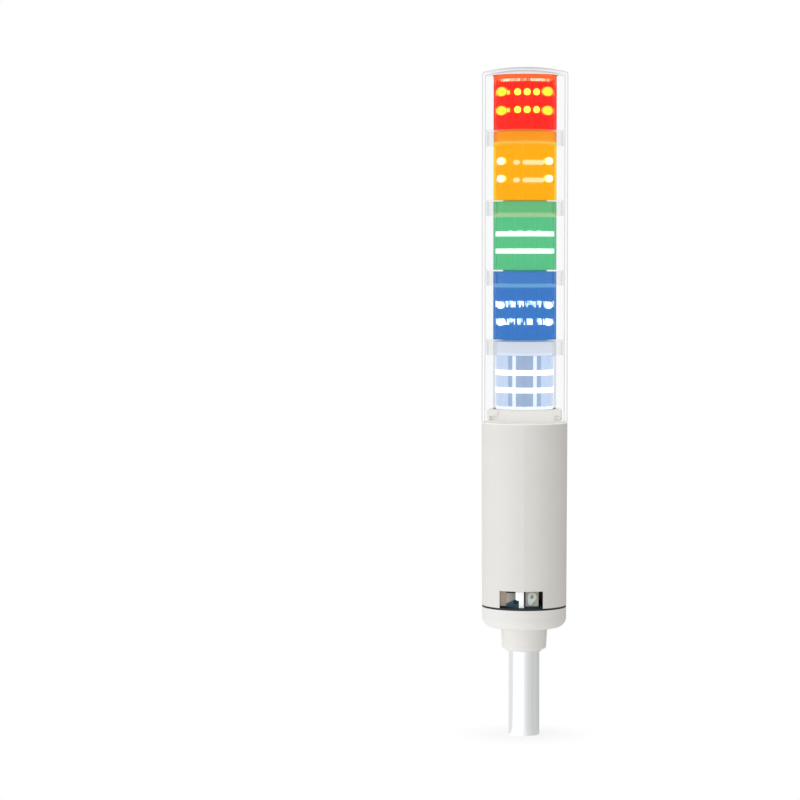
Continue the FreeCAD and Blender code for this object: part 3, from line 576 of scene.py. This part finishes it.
def spotted_ring(colour):
    """Clear optic ring with painted light in front of the LEDs that it shows; on the blue tier, painted
    sparkles instead.
    """
    material = clear_plastic("ring_" + colour, (0.98, 0.98, 0.98), PALE, 0.08)
    tree, shader = nodes_of(material)
    if colour == "blue":
        sparks = noise(tree, 620.0, 2.0, (1.0, 1.0, 0.12))
        mask = rising(tree, sparks, 0.52, 0.60)
        bright = BLUE_SPARKS
    else:
        bright, width, tall, angles = RING_SPOTS[colour]
        mask = spot_rows(tree, RING_MIDDLE, tier_foot(colour), (0.0, 0.0), angles, width, tall)
    tree.links.new(two_colours(tree, mask, BLACK, bright), shader.inputs["Emission Color"])
    shader.inputs["Emission Strength"].default_value = 1.0
    return material


def painted_crown_glints():
    """Prisms with painted glints, as if they caught the light of the red tier unevenly."""
    material = lit("crown_painted_glints", (1.3, 2.2, 3.2))
    tree, shader = nodes_of(material)
    sparks = rising(tree, noise(tree, 300.0, 2.0, (1.0, 1.0, 0.4)), 0.41, 0.53)
    tone = two_colours(tree, sparks, (1.0, 0.7, 0.6), (1.3, 2.9, 5.4))
    tree.links.new(tone, shader.inputs["Emission Color"])
    return material


def clear_fins():
    """Fins of the clear tier in painted light and shade: the two beside the front are brightest, the front
    one is in shade.
    """
    material = lit_inside("fins_clear", (0.10, 0.11, 0.12), (0.8, 0.88, 0.97))
    tree, shader = nodes_of(material)
    across, depth, up = axes(tree, object_place(tree))
    turn = maths(tree, "ABSOLUTE", azimuth(tree, across, depth))
    beside = rising(tree, turn, *map(math.radians, FIN_BESIDE))
    further = rising(tree, turn, *map(math.radians, FIN_FURTHER))
    tone = two_colours(tree, beside, (0.25, 0.33, 0.52), (0.80, 0.88, 0.98))
    tone = two_colours(tree, further, tone, (0.50, 0.61, 0.80))
    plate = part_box("reflector_clear")[1][2] - PLATE_THICKNESS
    on_plate = rising(tree, up, plate - PLATE_SOFT, plate)
    # painted light on the reflector's plate
    tone = two_colours(tree, on_plate, tone, (0.74, 0.82, 0.94))
    tree.links.new(tone, shader.inputs["Emission Color"])
    return material


def clear_core():
    """Core of the clear tier with a painted glow, brighter at its foot flange."""
    base, glow = INSIDE["clear"]
    material = lit_inside("core_clear", base, glow)
    tree, shader = nodes_of(material)
    foot = tier_foot("clear")
    flange = level_band(tree, foot - FLANGE_LIGHT_FOOT, foot + FLANGE_LIGHT_TOP)
    tone = two_colours(tree, flange, glow, (0.92, 0.94, 0.96))
    tree.links.new(tone, shader.inputs["Emission Color"])
    return material


def switch_metal():
    """Nickel frame of the slide switch above its dark blue-green base, with painted shade from its bright
    left side to its right side.
    """
    material, tree, shader = new_material("switch_nickel")
    across, _, up = axes(tree, object_place(tree))
    slope = maths(tree, "ADD", maths(tree, "MULTIPLY", across, SWITCH_SLOPE), SWITCH_SLOPE_LEVEL)
    edge = maths(tree, "MINIMUM", slope, SWITCH_BASE_TOP)
    over = maths(tree, "SUBTRACT", up, edge)
    above = rising(tree, over, -SWITCH_BASE_SOFT, SWITCH_BASE_SOFT)
    shadow = rising(tree, across, *SWITCH_SHADE)
    tone = two_colours(tree, shadow, (0.50, 0.44, 0.36), (0.26, 0.26, 0.22))
    grain = noise_between(tree, noise(tree, 900.0, 2.0), 0.0, 0.15)
    tone = two_colours(tree, grain, tone, (0.6, 0.58, 0.52))
    tone = two_colours(tree, above, (0.010, 0.065, 0.105), tone)
    tree.links.new(tone, shader.inputs["Base Color"])
    tree.links.new(mapped(tree, grain, 0.0, 0.15, 0.35, 0.5), shader.inputs["Roughness"])
    return material


def dial_plastic():
    """Dial with a pale tail, a taupe disc and a brown hub, under a faint painted glow."""
    material = lit_inside("dial_pale", (0.62, 0.72, 0.69), (0.85, 1.0, 0.96), 0.14)
    tree, shader = nodes_of(material)
    pale = shader.inputs["Base Color"].links[0].from_socket
    disc = rising(tree, height(tree), DIAL_SHADE_LOW, DIAL_SHADE_HIGH)
    tone = two_colours(tree, disc, pale, (0.60, 0.57, 0.50))
    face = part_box("volume_trimmer")[0][1] - DIAL_DEPTH
    centre = (DIAL_CENTRE[0], face, DIAL_CENTRE[1])
    hub = glow_spot(tree, centre, DIAL_HUB, DIAL_HUB)
    tone = two_colours(tree, hub, tone, (0.16, 0.12, 0.09))
    tree.links.new(tone, shader.inputs["Base Color"])
    return material


def body_plastic(name, colour):
    """Off-white textured housing plastic; the neck inside the cover has a faint painted glow for the light
    it catches there.
    """
    material = moulded_plastic(name, colour, 0.55)
    tree, shader = nodes_of(material)
    shader.inputs["Specular IOR Level"].default_value = 0.3
    shader.inputs["Emission Color"].default_value = (1.0, 0.99, 0.96, 1.0)
    full = SHOULDER_LEVEL + NECK_SOFT
    neck = mapped(tree, height(tree), SHOULDER_LEVEL, full, 0.0, NECK_PAINTED_GLOW)
    tree.links.new(neck, shader.inputs["Emission Strength"])
    return material


# ---- dressing the CAD nodes -----------------------------------------------------------------

def dress(node, material):
    """Give a CAD node's faces a material."""
    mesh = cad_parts[node].data
    mesh.materials.clear()
    mesh.materials.append(material)


def dress_base():
    """Pole, cap, housing and what they hold."""
    steel = drawn_metal("zinc_steel", (0.66, 0.66, 0.63), 0.32, 900.0, EVEN)
    board = moulded_plastic("board_green", (0.012, 0.075, 0.095), 0.3, 1500.0, 0.00003, 0.3)
    gasket = moulded_plastic("gasket_rubber", (0.012, 0.012, 0.013), 0.6, 2500.0, 0.00005, 0.2)
    for node in ("cap_screws", "pole_locknut", "tie_rod", "rod_nuts"):
        dress(node, steel)
    for node in ("control_board", "main_board"):
        dress(node, board)
    dress("body_housing", body_plastic("body_plastic", BODY_TONE))
    dress("base_cap", body_plastic("cap_plastic", CAP_TONE))
    dress("base_gasket", gasket)
    dress("pole", drawn_metal("pole_aluminium", (0.90, 0.92, 0.94), 0.16))
    dress("buzzer", moulded_plastic("black_plastic", (0.03, 0.03, 0.032), 0.45))
    dress("capacitors", drawn_metal("capacitor_can", (0.5, 0.5, 0.52), 0.3, 900.0, EVEN))
    dress("terminal_block", moulded_plastic("terminal_green", (0.05, 0.25, 0.12), 0.4))


def dress_controls():
    """Switch, lever, trimmer and dial in the window."""
    dress("mode_switch", switch_metal())
    # the lever, trimmer and dial carry faint painted glows for the light of the window
    dress("switch_lever", lit_inside("lever_white", (0.92, 0.92, 0.91), WHITE, 0.22))
    dress("volume_trimmer", lit_inside("trimmer_taupe", (0.55, 0.52, 0.46), (0.9, 0.85, 0.75), 0.10))
    dress("volume_dial", dial_plastic())


def dress_tiers():
    """Lenses, cores, strips, reflectors, LEDs and spacers."""
    for colour in COLOURS:
        dress("lens_" + colour, lens_plastic(colour))
        # core, strip and reflector share one material with a painted glow
        inside = lit_inside("inside_" + colour, *INSIDE[colour])
        for kind in ("core_", "led_strip_", "reflector_"):
            dress(kind + colour, inside)
        glow, strength = LED_GLOW[colour]
        dress("leds_" + colour, lit("led_" + colour, glow, strength, LED_BASE.get(colour, PALE)))
    for colour in SPACER_EDGE:
        dress("spacer_" + colour, spacer_plastic(colour))
    dress("reflector_clear", clear_fins())
    dress("core_clear", clear_core())


def dress_cover():
    """Cover, its seal and the lid of the top tier; the seal and the lid carry painted glows."""
    # the cover's grey edge tone is painted shade where its wall is seen edge-on
    cover = clear_plastic("cover_clear", (0.975, 0.98, 0.985), (0.63, 0.605, 0.63), 0.02, COVER_EDGE_START)
    dress("clear_cover", cover)
    # painted glow that keeps the seal light where little light reaches it
    dress("cover_seal", lit_inside("seal_rubber", (0.5, 0.5, 0.49), (0.80, 0.79, 0.77), 0.55))
    # painted glow of the red tier's light on the lid
    dress("top_plate", lit_inside("lid_painted_glow", (0.35, 0.30, 0.28), (0.95, 0.70, 0.45), 0.75))


# ---- pieces that only the scene has ---------------------------------------------------------

def add_piece(name, mesh_data, material, smooth=True):
    """Make a mesh object from a bmesh and let it ride on the tower."""
    bmesh.ops.recalc_face_normals(mesh_data, faces=mesh_data.faces)
    mesh = bpy.data.meshes.new(name)
    mesh_data.to_mesh(mesh)
    mesh_data.free()
    for face in mesh.polygons:
        face.use_smooth = smooth
    mesh.materials.append(material)
    piece = bpy.data.objects.new(name, mesh)
    bpy.context.scene.collection.objects.link(piece)
    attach(piece, "tower")


def lathe(profile, sides):
    """Closed ring round the axis from a closed profile of (radius, z) points."""
    mesh_data = bmesh.new()
    loops = []
    for step in range(sides):
        angle = 360.0 * step / sides
        loops.append([mesh_data.verts.new(polar(reach, angle, z)) for reach, z in profile])
    count = len(profile)
    for step in range(sides):
        first, second = loops[step], loops[(step + 1) % sides]
        for index in range(count):
            after = (index + 1) % count
            mesh_data.faces.new((first[index], second[index], second[after], first[after]))
    return mesh_data


def add_walls(mesh_data, lower, upper):
    """Upright faces between two closed outlines."""
    count = len(lower)
    for index in range(count):
        after = (index + 1) % count
        mesh_data.faces.new((lower[index], lower[after], upper[after], upper[index]))


def ring_profile(middle, half):
    """Half-round section that bulges inwards from the lens."""
    profile = [(RING_WALL, middle - half), (RING_WALL, middle + half)]
    for step in range(RING_STEPS + 1):
        turn = math.pi * step / RING_STEPS
        reach = RING_WALL - RING_LIP - RING_BULGE * math.sin(turn)
        profile.append((reach, middle + half * math.cos(turn)))
    return profile


def make_optic_rings():
    """A ring of half-round section inside each lens at each row of LEDs, with a painted glow all round on
    the clear and green tiers, painted light spots on the amber and red, and painted sparkles on the blue.
    """
    for colour in COLOURS:
        material = lit_ring(colour) if colour in RING_GLOW else spotted_ring(colour)
        foot = tier_foot(colour)
        half = RING_HEIGHT[colour] / 2
        for number, (row, shift) in enumerate(zip(LED_ROWS, RING_SHIFT[colour])):
            mesh_data = lathe(ring_profile(foot + row + shift, half), RING_SIDES)
            add_piece("ring_%s_%d" % (colour, number + 1), mesh_data, material)


def make_sleeves():
    """Thin plain sleeve round the top of each lower tier's core, just inside its lens, with a painted
    glow.
    """
    for colour in COLOURS[:-1]:
        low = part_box("reflector_" + colour)[1][2] + PIECE_GAP
        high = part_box("lens_" + colour)[1][2] - PIECE_GAP
        chamfer = SLEEVE_RADIUS - SLEEVE_BORE
        profile = [(SLEEVE_BORE, low), (SLEEVE_RADIUS, low + chamfer), (SLEEVE_RADIUS, high),
                   (SLEEVE_BORE, high)]
        base, glow = INSIDE[colour]
        if colour == "clear":
            glow = SLEEVE_CLEAR_GLOW
        material = lit_inside("sleeve_" + colour, base, glow)
        add_piece("sleeve_" + colour, lathe(profile, RING_SIDES), material)


def make_bracket():
    """Folded sheet bracket beside the slide switch, seen at the left of the window, with a faint painted
    glow.
    """
    low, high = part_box("mode_switch")
    left, right = BRACKET_LEFT, low[0] - PIECE_GAP
    front, back = BRACKET_FRONT, BRACKET_FRONT + BRACKET_SHEET
    fold = BRACKET_FRONT + BRACKET_FOLD
    inner = left + BRACKET_SHEET
    outline = [(left, fold), (left, front), (right, front), (right, back), (inner, back), (inner, fold)]
    mesh_data = bmesh.new()
    ends = []
    for z in (low[2] + PIECE_GAP, high[2] + BRACKET_RISE):
        ends.append([mesh_data.verts.new((x, y, z)) for x, y in outline])
    add_walls(mesh_data, *ends)
    for end in ends:
        mesh_data.faces.new((end[0], end[1], end[4], end[5]))
        mesh_data.faces.new((end[1], end[2], end[3], end[4]))
    material = lit_inside("bracket_taupe", (0.42, 0.34, 0.28), (0.9, 0.78, 0.66), 0.10)
    add_piece("switch_bracket", mesh_data, material, smooth=False)


def tooth_outline(mesh_data, angle, spread, depth, z):
    """Four corners of a prism of the crown at one level."""
    outer = CROWN_RADIUS + depth
    corners = ((CROWN_RADIUS, -spread), (outer, -spread), (outer, spread), (CROWN_RADIUS, spread))
    return [mesh_data.verts.new(polar(reach, angle + side, z)) for reach, side in corners]


def make_crown():
    """Short upright prisms round the top core, on the reflector's plate, with painted glints for light
    from below.
    """
    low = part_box("reflector_red")[1][2] + PIECE_GAP
    mesh_data = bmesh.new()
    for tooth in range(CROWN_TEETH):
        angle = 360.0 * tooth / CROWN_TEETH
        tall = CROWN_SHORTEST + CROWN_RISE * abs(math.sin(CROWN_HEIGHT_TURN * tooth))
        spread = CROWN_NARROWEST + CROWN_WIDENING * abs(math.cos(CROWN_WIDTH_TURN * tooth))
        feet = tooth_outline(mesh_data, angle, spread, CROWN_FOOT_DEPTH, low)
        heads = tooth_outline(mesh_data, angle, spread * CROWN_HEAD_SHARE, CROWN_HEAD_DEPTH, low + tall)
        mesh_data.faces.new(feet)
        mesh_data.faces.new(heads)
        add_walls(mesh_data, feet, heads)
    add_piece("crown_red", mesh_data, painted_crown_glints(), smooth=False)


# ---- surroundings ---------------------------------------------------------------------------

def surround_colour(tree, across, depth):
    """Light of the room by azimuth: a broad bright side on the left, less light on the right."""
    turn = rising(tree, azimuth(tree, across, depth), -math.pi, math.pi)
    ramp = tree.nodes.new("ShaderNodeValToRGB")
    tree.links.new(turn, ramp.inputs["Fac"])
    elements = ramp.color_ramp.elements
    elements.remove(elements[1])
    for index, (degrees, level) in enumerate(ROOM_LEVELS):
        position = (degrees + 180) / 360
        element = elements[0] if index == 0 else elements.new(position)
        element.position = position
        cool = min(1.0, max(0.0, (level - ROOM_DIM) * 2))
        tones = [level / ROOM_PEAK * (warm + shift * cool) for warm, shift in zip(ROOM_WARM, ROOM_SHIFT)]
        element.color = (*tones, 1.0)
    return ramp.outputs["Color"]


def seen_directly(tree):
    """One for rays that come from the camera, also through clear plastic."""
    path = tree.nodes.new("ShaderNodeLightPath")
    return maths(tree, "MAXIMUM", path.outputs["Is Camera Ray"], path.outputs["Is Transmission Ray"])


def mixed_shaders(tree, factor, first, second):
    """Blend of two shaders by a factor."""
    mix = tree.nodes.new("ShaderNodeMixShader")
    tree.links.new(factor, mix.inputs["Fac"])
    tree.links.new(first.outputs[0], mix.inputs[1])
    tree.links.new(second.outputs[0], mix.inputs[2])
    return mix


def glowing(tree, kind, colour, strength):
    """Background or emission shader of a colour."""
    node = tree.nodes.new(kind)
    set_input(tree, node.inputs["Color"], colour)
    node.inputs["Strength"].default_value = strength
    return node


def make_world():
    """Soft studio surround for light and gloss, plain white where the camera sees it."""
    world = bpy.data.worlds.new("studio")
    bpy.context.scene.world = world
    world.use_nodes = True
    tree = world.node_tree
    tree.nodes.clear()
    output = tree.nodes.new("ShaderNodeOutputWorld")
    coordinates = tree.nodes.new("ShaderNodeTexCoord")
    across, depth, _ = axes(tree, coordinates.outputs["Generated"])
    colour = surround_colour(tree, across, depth)
    room = glowing(tree, "ShaderNodeBackground", colour, ROOM_PEAK)
    white = glowing(tree, "ShaderNodeBackground", (*WHITE, 1.0), 1.0)
    mix = mixed_shaders(tree, seen_directly(tree), room, white)
    tree.links.new(mix.outputs[0], output.inputs["Surface"])


def floor_material():
    """Pale floor that gives back the room's light and looks nearly white, with a contact shadow."""
    material, tree, shader = new_material("floor_white")
    shader.inputs["Base Color"].default_value = (0.86, 0.86, 0.86, 1.0)
    shader.inputs["Roughness"].default_value = 0.9
    white = glowing(tree, "ShaderNodeEmission", (*WHITE, 1.0), 1.0)
    whiteness = mapped(tree, radius(tree), SHADOW_START, SHADOW_END, SHADOW_WHITENESS, 1.0)
    seen = mixed_shaders(tree, whiteness, shader, white)
    across, depth, _ = axes(tree, object_place(tree))
    colour = surround_colour(tree, across, depth)
    room = glowing(tree, "ShaderNodeEmission", colour, ROOM_PEAK * FLOOR_LIGHT)
    mix = mixed_shaders(tree, seen_directly(tree), room, seen)
    tree.links.new(mix.outputs[0], tree.nodes["Material Output"].inputs["Surface"])
    return material


def make_floor():
    """Plain floor under the pole's end."""
    mesh = bpy.data.meshes.new("floor")
    half = FLOOR_HALF
    corners = [(-half, -half, 0.0), (half, -half, 0.0), (half, half, 0.0), (-half, half, 0.0)]
    mesh.from_pydata(corners, [], [(0, 1, 2, 3)])
    mesh.materials.append(floor_material())
    floor = bpy.data.objects.new("floor", mesh)
    bpy.context.scene.collection.objects.link(floor)
    floor.location.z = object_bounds()[0][2] - FLOOR_DROP


def make_camera():
    """Camera in front of the tower, a little below its middle lens and turned to the left."""
    data = bpy.data.cameras.new("camera")
    data.lens = CAMERA_LENS
    data.sensor_width = CAMERA_SENSOR
    data.clip_start = CAMERA_NEAR
    data.clip_end = CAMERA_FAR
    camera = bpy.data.objects.new("camera", data)
    bpy.context.scene.collection.objects.link(camera)
    camera.location = CAMERA_PLACE
    camera.rotation_euler = (math.radians(90 - CAMERA_PITCH), 0.0, math.radians(CAMERA_YAW))
    bpy.context.scene.camera = camera


bpy.context.scene.view_settings.view_transform = "Standard"
dress_base()
dress_controls()
dress_tiers()
dress_cover()
make_optic_rings()
make_sleeves()
make_bracket()
make_crown()
make_world()
make_floor()
make_camera()
